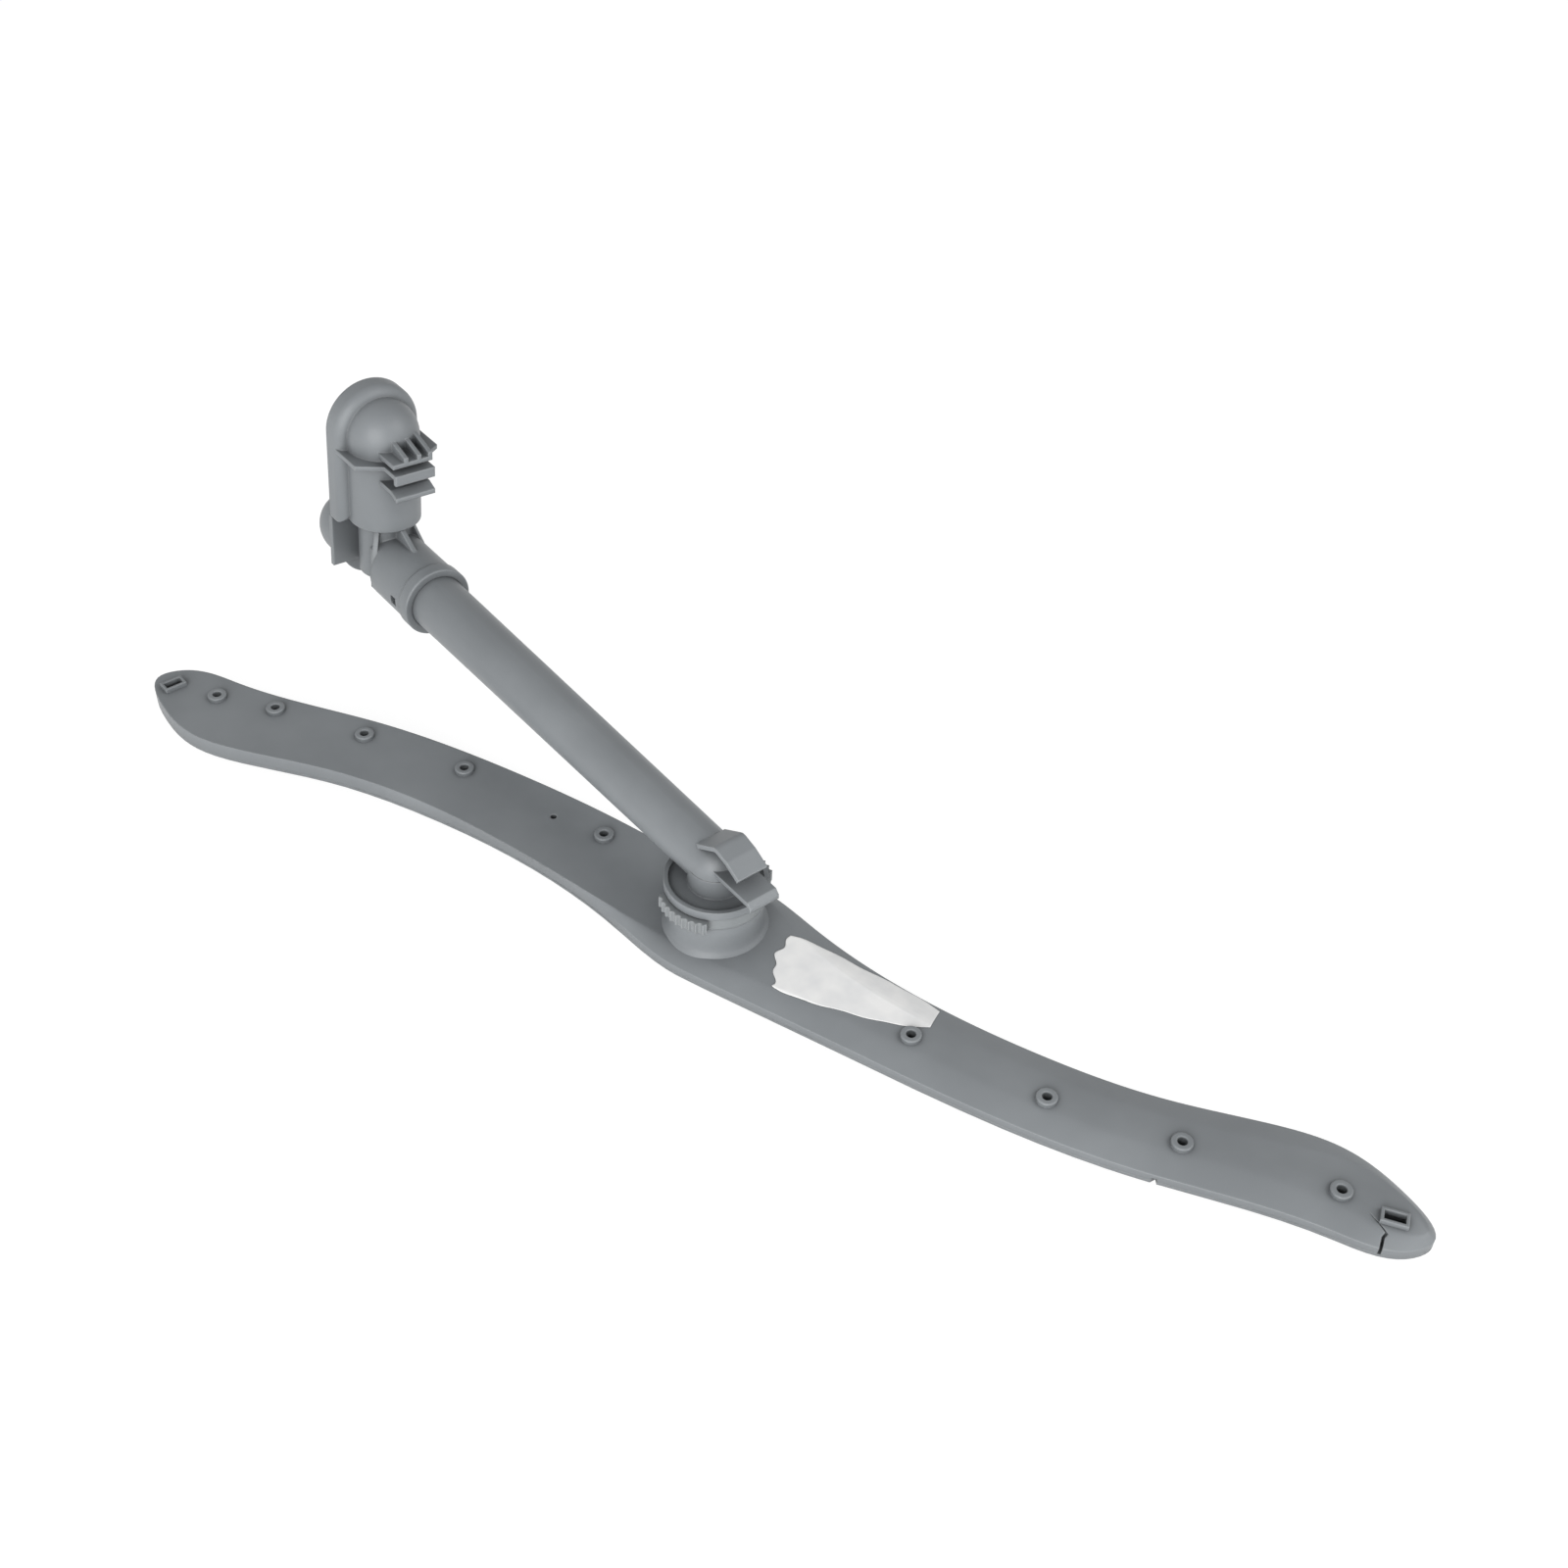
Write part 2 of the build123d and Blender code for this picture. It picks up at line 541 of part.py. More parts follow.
# Upper shell: flat top with sloped shoulders, the bell under the ring, jet bosses and end slots
with BuildPart() as arm_upper_shell:
    with BuildSketch(arm_level(seam_z)):
        add(arm_face(0))
    extrude(amount=SIDE_WALL)
    with BuildSketch(arm_level(wall_top_z)):
        add(arm_face(0))
    with BuildSketch(arm_level(arm_top_z)):
        add(top_face(0))
    loft(ruled=True)
    with BuildSketch(arm_side()):
        with BuildLine():
            Polyline(
                (0, wall_top_z),
                (HUB_HALF_WIDTH - SHELL / 2, wall_top_z),
                (HUB_HALF_WIDTH - SHELL / 2, wall_top_z + SHELL / 2),
            )
            Spline(
                (HUB_HALF_WIDTH - SHELL / 2, wall_top_z + SHELL / 2),
                (RING_DIAMETER / 2 - SHELL / 4, arm_top_z + BELL_HEIGHT / 2),
                (RING_DIAMETER / 2 - SHELL / 2, arm_top_z + BELL_HEIGHT),
            )
            Polyline(
                (RING_DIAMETER / 2 - SHELL / 2, arm_top_z + BELL_HEIGHT),
                (0, arm_top_z + BELL_HEIGHT),
                (0, wall_top_z),
            )
        make_face()
    revolve(axis=Axis(hub_point, (0, 0, 1)))
    with BuildSketch(arm_level(arm_top_z)):
        with Locations(*boss_points):
            Circle(BOSS_DIAMETER / 2)
        with Locations(*slot_places):
            Rectangle(SLOT_LENGTH + 2 * SLOT_RIM, SLOT_WIDTH + 2 * SLOT_RIM)
    extrude(amount=BOSS_HEIGHT)
    with BuildSketch(arm_level(arm_top_z)):
        with Locations(*boss_points):
            Circle(BOSS_DIAMETER / 2)
        with Locations(*slot_places):
            Rectangle(SLOT_LENGTH + 2 * SLOT_RIM, SLOT_WIDTH + 2 * SLOT_RIM)
    extrude(amount=-SHELL)
    with BuildSketch(arm_level(seam_z)):
        add(arm_face(SHELL))
    extrude(amount=SIDE_WALL - SHELL / 2, mode=Mode.SUBTRACT)
    with BuildSketch(arm_level(wall_top_z - SHELL / 2)):
        add(arm_face(SHELL))
    with BuildSketch(arm_level(arm_top_z - SHELL)):
        add(top_face(SHELL))
    loft(ruled=True, mode=Mode.SUBTRACT)
    with BuildSketch(arm_side()):
        with BuildLine():
            Polyline(
                (0, seam_z),
                (RING_DIAMETER / 2 - 1.5 * SHELL, seam_z),
                (RING_DIAMETER / 2 - 1.5 * SHELL, arm_top_z + BELL_HEIGHT - SHELL),
                (0, arm_top_z + BELL_HEIGHT - SHELL),
                close=True,
            )
        make_face()
    revolve(axis=Axis(hub_point, (0, 0, 1)), mode=Mode.SUBTRACT)
    with BuildSketch(arm_level(seam_z)):
        Circle(ring_sleeve_radius + NECK_CLEARANCE)
    extrude(amount=arm_top_z + BELL_HEIGHT - seam_z, mode=Mode.SUBTRACT)
    with BuildSketch(arm_level(seam_z)):
        with Locations(*boss_points):
            Circle(JET_DIAMETER / 2)
        with Locations(*slot_places):
            Rectangle(SLOT_LENGTH, SLOT_WIDTH)
        with Locations(drain_point):
            Circle(DRAIN_DIAMETER / 2)
    extrude(amount=arm_top_z + BOSS_HEIGHT - seam_z, mode=Mode.SUBTRACT)
    with BuildSketch(arm_level(seam_z)):
        with BuildLine():
            crack = Polyline(*crack_path)
            offset(crack, amount=CRACK_WIDTH, side=Side.RIGHT)
        make_face()
    extrude(amount=arm_top_z - seam_z, mode=Mode.SUBTRACT)
    with BuildSketch(arm_level(seam_z)):
        with Locations(chip_point):
            RegularPolygon(CHIP_WIDTH / sqrt(3), 3, rotation=90)
    extrude(amount=SIDE_WALL / 2, mode=Mode.SUBTRACT)
arm_upper_shell.part.label = "arm_upper_shell"


def tray_keel(lift):
    """Side view of the tray's depth: deep under the hub and shallow at the tips, raised by lift."""
    foot = seam_z - LIP_HEIGHT + lift
    with BuildSketch() as keel:
        with BuildLine():
            Polyline(
                (-ARM_REACH, seam_z),
                (-ARM_REACH, foot - TRAY_DEPTH_TIP),
                (-TRAY_FLAT, foot - TRAY_DEPTH_HUB),
                (TRAY_FLAT, foot - TRAY_DEPTH_HUB),
                (ARM_REACH, foot - TRAY_DEPTH_TIP),
                (ARM_REACH, seam_z),
                close=True,
            )
        make_face()
    return keel.sketch


# Hollow of the lower shell
with BuildPart() as tray_hollow:
    with BuildSketch(arm_level(seam_z)):
        add(arm_face(TRAY_INSET + SHELL))
    extrude(amount=-LIP_HEIGHT - TRAY_DEPTH_HUB)
    with BuildSketch(arm_side()):
        add(tray_keel(SHELL))
    extrude(amount=2 * BELLY, both=True, mode=Mode.INTERSECT)

# Lower shell: tray set in under the upper shell, with a lip welded along the seam
with BuildPart() as arm_lower_shell:
    with BuildSketch(arm_level(seam_z)):
        add(arm_face(TRAY_INSET))
    extrude(amount=-LIP_HEIGHT - TRAY_DEPTH_HUB)
    with BuildSketch(arm_side()):
        add(tray_keel(0))
    extrude(amount=2 * BELLY, both=True, mode=Mode.INTERSECT)
    with BuildSketch(arm_level(seam_z)):
        add(arm_face(0))
        with Locations(chip_point):
            RegularPolygon(CHIP_WIDTH / sqrt(3), 3, rotation=90, mode=Mode.SUBTRACT)
    extrude(amount=-LIP_HEIGHT)
    add(tray_hollow.part, mode=Mode.SUBTRACT)
    with BuildSketch(arm_level(seam_z)):
        with Locations(drain_point):
            Circle(DRAIN_DIAMETER / 2)
    extrude(amount=-LIP_HEIGHT - TRAY_DEPTH_HUB, mode=Mode.SUBTRACT)
arm_lower_shell.part.label = "arm_lower_shell"

for piece in (
    inlet_hood,
    elbow_body,
    feed_pipe,
    pipe_seal,
    snap_collar,
    hub_ring,
    arm_upper_shell,
    arm_lower_shell,
):
    export_step(piece.part, f"parts/{piece.part.label}.step")
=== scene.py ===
"""Looks of a dishwasher spray arm: grey plastic, a paper sticker, a pale floor and soft light."""

import json
import logging
import math
from dataclasses import dataclass
from enum import Enum
from typing import Any

import bpy
import numpy as np
from mathutils import Matrix, Vector

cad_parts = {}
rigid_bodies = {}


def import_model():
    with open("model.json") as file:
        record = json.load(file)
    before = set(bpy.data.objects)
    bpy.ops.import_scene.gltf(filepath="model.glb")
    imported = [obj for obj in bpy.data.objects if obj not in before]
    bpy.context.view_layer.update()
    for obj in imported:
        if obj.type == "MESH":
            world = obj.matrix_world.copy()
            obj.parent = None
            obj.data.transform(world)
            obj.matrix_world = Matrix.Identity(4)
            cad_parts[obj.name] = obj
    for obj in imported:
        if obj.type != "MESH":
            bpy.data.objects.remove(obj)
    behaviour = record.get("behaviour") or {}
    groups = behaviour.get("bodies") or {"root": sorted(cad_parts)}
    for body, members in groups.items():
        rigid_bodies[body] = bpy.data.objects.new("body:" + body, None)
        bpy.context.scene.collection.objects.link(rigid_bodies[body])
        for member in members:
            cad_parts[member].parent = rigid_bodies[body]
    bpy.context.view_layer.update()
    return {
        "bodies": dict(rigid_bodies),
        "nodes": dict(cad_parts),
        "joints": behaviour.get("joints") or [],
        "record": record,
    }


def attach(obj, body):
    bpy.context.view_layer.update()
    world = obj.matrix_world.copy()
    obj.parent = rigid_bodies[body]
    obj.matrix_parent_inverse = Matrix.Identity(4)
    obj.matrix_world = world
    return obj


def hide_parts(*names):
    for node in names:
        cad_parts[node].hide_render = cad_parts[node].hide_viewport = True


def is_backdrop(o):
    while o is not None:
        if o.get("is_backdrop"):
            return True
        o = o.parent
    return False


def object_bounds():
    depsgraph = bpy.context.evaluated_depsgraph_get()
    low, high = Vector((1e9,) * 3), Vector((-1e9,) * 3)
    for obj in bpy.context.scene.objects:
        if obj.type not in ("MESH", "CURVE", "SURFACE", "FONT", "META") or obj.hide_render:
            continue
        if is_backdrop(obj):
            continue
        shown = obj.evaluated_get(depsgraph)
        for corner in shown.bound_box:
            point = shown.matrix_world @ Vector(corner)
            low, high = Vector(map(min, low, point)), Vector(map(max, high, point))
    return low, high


LOG = logging.getLogger("spray_arm")
MM = 0.001


class Body(Enum):
    """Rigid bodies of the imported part."""

    FEED = "feed"
    ARM = "arm"


def linear(hex_colour: str) -> tuple[float, float, float, float]:
    """Turn an sRGB hex colour into linear red, green, blue and a full alpha.

    Args:
        hex_colour: Six hex digits with a leading hash.

    Returns:
        Linear colour with alpha 1.
    """
    parts = np.array([int(hex_colour[i:i + 2], 16) for i in (1, 3, 5)]) / 255.0
    values = np.where(parts <= 0.04045, parts / 12.92, ((parts + 0.055) / 1.055) ** 2.4)
    return (float(values[0]), float(values[1]), float(values[2]), 1.0)


def add_node(
    tree: bpy.types.NodeTree, kind: str, inputs: dict[Any, Any], **settings: Any
) -> bpy.types.Node:
    """Add one node with its settings, its constant inputs and its links.

    Args:
        tree: Node tree that gets the node.
        kind: Blender's name of the node type.
        inputs: Input name or index to a constant, or to an output socket that is linked to it.
        settings: Properties of the node itself.

    Returns:
        The new node.
    """
    node = tree.nodes.new(kind)
    for name, value in settings.items():
        setattr(node, name, value)
    for key, value in inputs.items():
        if isinstance(value, bpy.types.NodeSocket):
            tree.links.new(value, node.inputs[key])
        else:
            node.inputs[key].default_value = value
    return node


def new_material(name: str) -> tuple[bpy.types.Material, bpy.types.NodeTree]:
    """Make an empty node material.

    Args:
        name: Name of the real material.

    Returns:
        The material and its node tree.
    """
    material = bpy.data.materials.new(name)
    material.use_nodes = True
    material.node_tree.nodes.clear()
    return material, material.node_tree


def add_piece(name: str, points: np.ndarray, faces: list[list[int]]) -> bpy.types.Object:
    """Make a mesh object at the origin and link it to the scene.

    Args:
        name: Name of the object and its mesh.
        points: Rows of x, y and z in metres.
        faces: Corner numbers of every face.

    Returns:
        The linked object.
    """
    mesh = bpy.data.meshes.new(name)
    mesh.from_pydata(points.tolist(), [], faces)
    piece = bpy.data.objects.new(name, mesh)
    bpy.context.scene.collection.objects.link(piece)
    return piece


def sheet_faces(rows: int, columns: int) -> list[list[int]]:
    """Corner numbers of the quads of a flat sheet whose points are given row by row."""
    index = np.arange(rows * columns).reshape(rows, columns)
    corners = [index[:-1, :-1], index[:-1, 1:], index[1:, 1:], index[1:, :-1]]
    return np.stack(corners, axis=-1).reshape(-1, 4).tolist()


def bake(piece: bpy.types.Object) -> None:
    """Turn a piece with modifiers into plain mesh."""
    bpy.context.view_layer.update()
    shaped = piece.evaluated_get(bpy.context.evaluated_depsgraph_get())
    finished = bpy.data.meshes.new_from_object(shaped)
    piece.modifiers.clear()
    piece.data = finished


def per_metre(size_mm: float) -> float:
    """Texture scale whose features are about as wide as a real size in millimetres."""
    return 1.0 / (size_mm * MM)


@dataclass(frozen=True)
class MouldedPlastic:
    """Moulded polypropylene or acetal: a satin grey skin with faint mottling, fine grain and painted
    edge highlights.

    It is a little waxy, so its gloss is broad and soft. Its edges get a pale painted highlight, and its
    corners get painted shade from an ambient-occlusion mask.
    """

    name: str
    colour: str
    pale: str
    # edge is the colour of the painted highlight laid on the edges.
    edge: str
    roughness: float = 0.43
    mottle_mm: float = 34.0
    grain_mm: float = 0.7
    edge_mm: float = 0.7
    # Reach, strength and colour of the painted shade laid into the corners and recesses.
    corner_mm: float = 16.0
    corner_dark: float = 0.62
    corner_shade_colour: str = "#2E3032"

    def build(self) -> bpy.types.Material:
        """Make the node material.

        Returns:
            The finished material.
        """
        material, tree = new_material(self.name)
        place = add_node(tree, "ShaderNodeTexCoord", {}).outputs["Object"]
        mottle = add_node(tree, "ShaderNodeTexNoise",
                          {"Vector": place, "Scale": per_metre(self.mottle_mm),
                           "Detail": 3.0, "Roughness": 0.55})
        # The real grain is finer than a pixel here, so it is drawn about three times as coarse.
        grain = add_node(tree, "ShaderNodeTexNoise",
                         {"Vector": place, "Scale": per_metre(self.grain_mm),
                          "Detail": 2.0, "Roughness": 0.5})
        mottle_share = add_node(tree, "ShaderNodeMapRange",
                                {"Value": mottle.outputs["Fac"], "From Min": 0.35, "From Max": 0.65})
        skin = add_node(tree, "ShaderNodeMix",
                        {"Factor": mottle_share.outputs["Result"],
                         "A": linear(self.colour), "B": linear(self.pale)},
                        data_type="RGBA")
        soft_edge = add_node(tree, "ShaderNodeBevel", {"Radius": self.edge_mm * MM}, samples=6)
        flat = add_node(tree, "ShaderNodeNewGeometry", {})
        facing = add_node(tree, "ShaderNodeVectorMath",
                          {0: soft_edge.outputs["Normal"], 1: flat.outputs["Normal"]},
                          operation="DOT_PRODUCT")
        # Painted highlight: edges are made paler where the rounded-edge normal turns away from the flat
        # one.
        edge_highlight_mask = add_node(tree, "ShaderNodeMapRange",
                        {"Value": facing.outputs["Value"], "From Min": 0.99, "From Max": 0.8,
                         "To Min": 0.0, "To Max": 0.55})
        edge_highlighted = add_node(tree, "ShaderNodeMix",
                        {"Factor": edge_highlight_mask.outputs["Result"],
                         "A": skin.outputs["Result"], "B": linear(self.edge)},
                        data_type="RGBA")
        # Painted shade: corners and recesses are darkened towards a dark grey by an ambient-occlusion
        # mask.
        open_share = add_node(tree, "ShaderNodeAmbientOcclusion",
                              {"Distance": self.corner_mm * MM}, samples=6)
        corner_shade_mask = add_node(tree, "ShaderNodeMapRange",
                         {"Value": open_share.outputs["AO"], "From Min": 0.35, "From Max": 0.95,
                          "To Min": self.corner_dark, "To Max": 0.0})
        corner_shaded = add_node(tree, "ShaderNodeMix",
                           {"Factor": corner_shade_mask.outputs["Result"],
                            "A": edge_highlighted.outputs["Result"], "B": linear(self.corner_shade_colour)},
                           data_type="RGBA")
        gloss = add_node(tree, "ShaderNodeMapRange",
                         {"Value": mottle.outputs["Fac"], "From Min": 0.3, "From Max": 0.7,
                          "To Min": self.roughness - 0.05, "To Max": self.roughness + 0.07})
        bump = add_node(tree, "ShaderNodeBump",
                        {"Height": grain.outputs["Fac"], "Normal": soft_edge.outputs["Normal"],
                         "Strength": 0.12, "Distance": 0.05 * MM})
        shader = add_node(tree, "ShaderNodeBsdfPrincipled",
                          {"Base Color": corner_shaded.outputs["Result"], "Roughness": gloss.outputs["Result"],
                           "Normal": bump.outputs["Normal"], "IOR": 1.49, "Specular IOR Level": 0.45})
        add_node(tree, "ShaderNodeOutputMaterial", {"Surface": shader.outputs["BSDF"]})
        return material


@dataclass(frozen=True)
class SealRubber:
    """Black nitrile rubber: matt, with a faint bloom."""

    name: str = "nitrile_rubber"
    colour: str = "#1C1C1D"
    bloom: str = "#2A2A2C"
    bloom_mm: float = 3.0

    def build(self) -> bpy.types.Material:
        """Make the node material.

        Returns:
            The finished material.
        """
        material, tree = new_material(self.name)
        place = add_node(tree, "ShaderNodeTexCoord", {}).outputs["Object"]
        noise = add_node(tree, "ShaderNodeTexNoise",
                         {"Vector": place, "Scale": per_metre(self.bloom_mm)})
        skin = add_node(tree, "ShaderNodeMix",
                        {"Factor": noise.outputs["Fac"],
                         "A": linear(self.colour), "B": linear(self.bloom)},
                        data_type="RGBA")
        shader = add_node(tree, "ShaderNodeBsdfPrincipled",
                          {"Base Color": skin.outputs["Result"], "Roughness": 0.75})
        add_node(tree, "ShaderNodeOutputMaterial", {"Surface": shader.outputs["BSDF"]})
        return material


@dataclass(frozen=True)
class StickerPaper:
    """Coated label paper: bright white and nearly matt, with faint fibres and soft, slightly darker
    clouds.
    """

    name: str = "coated_label_paper"
    colour: str = "#ECECEB"
    shade: str = "#DCDDDE"
    fibre_mm: float = 0.8
    cloud_mm: float = 9.0

    def build(self) -> bpy.types.Material:
        """Make the node material.

        Returns:
            The finished material.
        """
        material, tree = new_material(self.name)
        place = add_node(tree, "ShaderNodeTexCoord", {}).outputs["Object"]
        cloud = add_node(tree, "ShaderNodeTexNoise",
                         {"Vector": place, "Scale": per_metre(self.cloud_mm)})
        fibre = add_node(tree, "ShaderNodeTexNoise",
                         {"Vector": place, "Scale": per_metre(self.fibre_mm), "Detail": 4.0})
        share = add_node(tree, "ShaderNodeMapRange",
                         {"Value": cloud.outputs["Fac"], "From Min": 0.4, "From Max": 0.75})
        skin = add_node(tree, "ShaderNodeMix",
                        {"Factor": share.outputs["Result"],
                         "A": linear(self.colour), "B": linear(self.shade)},
                        data_type="RGBA")
        bump = add_node(tree, "ShaderNodeBump",
                        {"Height": fibre.outputs["Fac"], "Strength": 0.15, "Distance": 0.04 * MM})
        shader = add_node(tree, "ShaderNodeBsdfPrincipled",
                          {"Base Color": skin.outputs["Result"], "Roughness": 0.62,
                           "Normal": bump.outputs["Normal"]})
        add_node(tree, "ShaderNodeOutputMaterial", {"Surface": shader.outputs["BSDF"]})
        return material


def clamped_spline(
    points: np.ndarray, at: np.ndarray, start: np.ndarray, end: np.ndarray, count: int
) -> np.ndarray:
    """Cubic spline through points, with its direction given at both ends.

    The second derivatives m solve h0*m0 + 2*(h0 + h1)*m1 + h1*m2 = 6*(slope1 - slope0) at each point
    between the ends, where h is the step of the parameter.

    Args:
        points: Points of the curve as rows of x and y.
        at: Parameter of each point, from 0 to 1.
        start: Derivative at the first point.
        end: Derivative at the last point.
        count: Number of points to give back.

    Returns:
        Evenly stepped points of the curve.
    """
    gaps = np.diff(at)
    slopes = np.diff(points, axis=0) / gaps[:, None]
    size = len(at)
    inner = np.arange(1, size - 1)
    system = np.zeros((size, size))
    system[inner, inner - 1] = gaps[:-1]
    system[inner, inner] = 2 * (gaps[:-1] + gaps[1:])
    system[inner, inner + 1] = gaps[1:]
    system[0, :2] = 2 * gaps[0], gaps[0]
    system[-1, -2:] = gaps[-1], 2 * gaps[-1]
    turns = np.vstack([slopes[:1] - start, np.diff(slopes, axis=0), end - slopes[-1:]])
    bends = np.linalg.solve(system, 6 * turns)
    where = np.linspace(0, 1, count)
    k = np.clip(np.searchsorted(at, where, side="right") - 1, 0, size - 2)
    b = ((where - at[k]) / gaps[k])[:, None]
    a = 1 - b
    pull = (a ** 3 - a) * bends[k] + (b ** 3 - b) * bends[k + 1]
    curve = pull * (gaps[k] ** 2)[:, None] / 6
    return a * points[k] + b * points[k + 1] + curve


@dataclass
class SprayArm:
    """Places on the spinning arm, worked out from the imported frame.

    The arm's own axes start on the spin axis at its top face, with x along the right wing.
    """

    frame: dict[str, Any]
    rest_angle: float = 23.0
    bell_mm: float = 11.9

    @property
    def spin_axis(self) -> Vector:
        """Point of the spin axis that the record gives, in metres."""
        return Vector(self.frame["joints"][0]["pos_m"])

    @property
    def top(self) -> float:
        """Height of the arm's flat top in metres: the hub ring's seat less the bell."""
        return self.spin_axis.z - self.bell_mm * MM

    def to_model(self, points_mm: np.ndarray) -> np.ndarray:
        """Turn points in the arm's axes into the part's frame.

        Args:
            points_mm: Array of x, y and z in millimetres, z from the arm's top face.

        Returns:
            Array of the same shape, in metres.
        """
        angle = math.radians(self.rest_angle)
        cos, sin = math.cos(angle), math.sin(angle)
        turn = np.array([[cos, sin, 0.0], [-sin, cos, 0.0], [0, 0, 1]])
        return points_mm @ turn * MM + np.array([self.spin_axis.x, self.spin_axis.y, self.top])


def ring_faces(rings: int, sides: int, wrap: bool) -> np.ndarray:
    """Join loops of points, given from the foot up, by quads that face outwards.

    Args:
        rings: Number of loops.
        sides: Points in each loop, counter-clockwise from above.
        wrap: Whether the last loop is joined to the first.

    Returns:
        Corner numbers of every quad, one row each.
    """
    index = np.arange(rings * sides).reshape(rings, sides)
    index = np.vstack([index, index[:1]]) if wrap else index
    after = np.roll(index, -1, axis=1)
    return np.stack([index[:-1], after[:-1], after[1:], index[1:]], axis=-1).reshape(-1, 4)


def raised(loop: np.ndarray, height: float) -> np.ndarray:
    """Lift a flat loop of x and y to one height, in millimetres."""
    return np.column_stack([loop, np.full(len(loop), height)])


def circle(centre: tuple[float, float], radius: float, sides: int) -> np.ndarray:
    """Points of a circle, counter-clockwise, in millimetres."""
    angle = np.linspace(0, 2 * math.pi, sides, endpoint=False)
    return np.column_stack([centre[0] + radius * np.cos(angle), centre[1] + radius * np.sin(angle)])


def rectangle(centre: tuple[float, float], sides: tuple[float, float], turn: float) -> np.ndarray:
    """Corners of a turned rectangle, counter-clockwise, in millimetres."""
    corners = np.array([[-1, -1], [1, -1], [1, 1], [-1, 1]]) * np.array(sides) / 2
    angle = math.radians(turn)
    spin = np.array([[math.cos(angle), math.sin(angle)], [-math.sin(angle), math.cos(angle)]])
    return corners @ spin + np.array(centre)


@dataclass
class ArmShell:
    """Upper shell of the arm: S outline, sloped shoulders, bell, jet bosses, end slots, crack and chip.

    The outline is a clamped cubic spline through the same points as the solid's, so every level of the
    shoulder keeps in step with the edge below it. The solid's own shoulder is a plain ruled face.
    """

    arm: SprayArm
    reach: float = 231.0
    half_width: float = 22.0
    belly: float = 25.7
    waist: float = 2.7
    paddle: float = 15.0
    shoulder: float = 9.0
    drop: float = 2.5
    side_wall: float = 2.7
    hub_slope: float = -0.06
    shoulder_bend: float = 1.3
    shoulder_levels: int = 7
    steps_per_wing: int = 260
    jet_radius: float = 1.5
    jets: tuple[tuple[float, float], ...] = (
        (-206.3, 5.0), (-184.3, 10.0), (-149.0, 14.6), (-109.0, 17.6), (-50.6, 14.2),
        (74.8, -12.6), (119.4, -14.0), (159.4, -9.6), (204.2, -2.9),
    )
    slot_size: tuple[float, float] = (6.0, 3.0)
    slots: tuple[tuple[tuple[float, float], float], ...] = (((-223.6, 2.0), 68.0), ((219.9, -4.6), 10.0))
    drain: tuple[float, float] = (-70.2, 13.8)
    drain_radius: float = 1.1
    hole_foot: float = -4.4
    cut_top: float = 1.0
    cut_foot: float = -6.0
    crack_width: float = 0.9
    crack_tip: float = 0.2
    chip_top: float = -3.85
    sharp_angle: float = 32.0

    @property
    def rows(self) -> np.ndarray:
        """Edge points: share of the reach, offset, way inwards, both wings' shares of the shoulder."""
        near, far = self.belly, self.paddle
        return np.array([
            (0.000, -self.half_width, 0, 1, 0.75, 0.5),
            (0.195, -(self.half_width + near) / 2, 0, 1, 0.95, 0.12),
            (0.410, -near, 0, 1, 1, 0),
            (0.650, -0.89 * near, -0.1, 1, 1, 0),
            (0.890, -0.58 * near, -0.2, 1, 0.9, 0),
            (0.985, -0.39 * near, -0.7, 0.7, 0.45, 0),
            (1.003, -0.16 * near, -1, 0, 0.3, 0),
            (0.957, 0.50 * far, -0.7, -0.7, 0.4, 0),
            (0.857, far, 0, -1, 0.8, 0),
            (0.770, 0.82 * far, 0.2, -1, 1, 0),
            (0.650, (far + self.waist) / 3, 0.1, -1, 1, 0),
            (0.468, self.waist, 0, -1, 1, 0),
            (0.130, 0.63 * self.half_width, -0.3, -1, 0.8, 0.2),
            (0.000, self.half_width, 0, -1, 0.5, 0.75),
        ])

    def wing(self, share: np.ndarray) -> np.ndarray:
        """Edge of one wing, from the hub's near side round the tip to its far side.

        Args:
            share: Share of the shoulder's width by which each point moves in.

        Returns:
            Points of the spline in millimetres, without its last one.
        """
        rows = self.rows
        edge = np.column_stack([rows[:, 0] * self.reach, rows[:, 1]])
        lengths = np.linalg.norm(np.diff(edge, axis=0), axis=1)
        at = np.concatenate([[0.0], np.cumsum(lengths)]) / lengths.sum()
        points = edge + rows[:, 2:4] * (share * self.shoulder)[:, None]
        way = np.array([1.0, self.hub_slope]) * lengths.sum()
        return clamped_spline(points, at, way, -way, self.steps_per_wing)[:-1]

    def level(self, rise: float) -> np.ndarray:
        """Closed loop of the whole arm at one share of the way up its shoulders, in millimetres."""
        rows = self.rows
        right = self.wing(rise * rows[:, 4])
        left = -self.wing(rise * rows[:, 5])
        return raised(np.vstack([right, left]), -self.drop * (1 - rise) ** self.shoulder_bend)

    def cutters(self) -> list[np.ndarray]:
        """Closed prisms that cut the jets, slots, drain, crack and chip, as pairs of loops."""
        path = np.array([(213.2, -5.8), (218.8, -9.6), (218.3, -11.0), (220.8, -25.7)])
        widths = np.array([self.crack_tip] + [self.crack_width] * 3)
        across = path + np.column_stack([widths, np.zeros(len(path))])
        crack = np.vstack([path, across[::-1]])
        chip = np.array([(156.4, -20.3), (154.4, -23.75), (158.4, -23.75)])
        holes = [circle(place, self.jet_radius, 24) for place in self.jets]
        holes += [rectangle(place, self.slot_size, turn) for place, turn in self.slots]
        holes.append(circle(self.drain, self.drain_radius, 20))
        prisms = [(hole, self.hole_foot, self.cut_top) for hole in holes]
        prisms += [(crack, self.cut_foot, self.cut_top), (chip, self.cut_foot, self.chip_top)]
        return [np.stack([raised(loop, low), raised(loop, high)]) for loop, low, high in prisms]

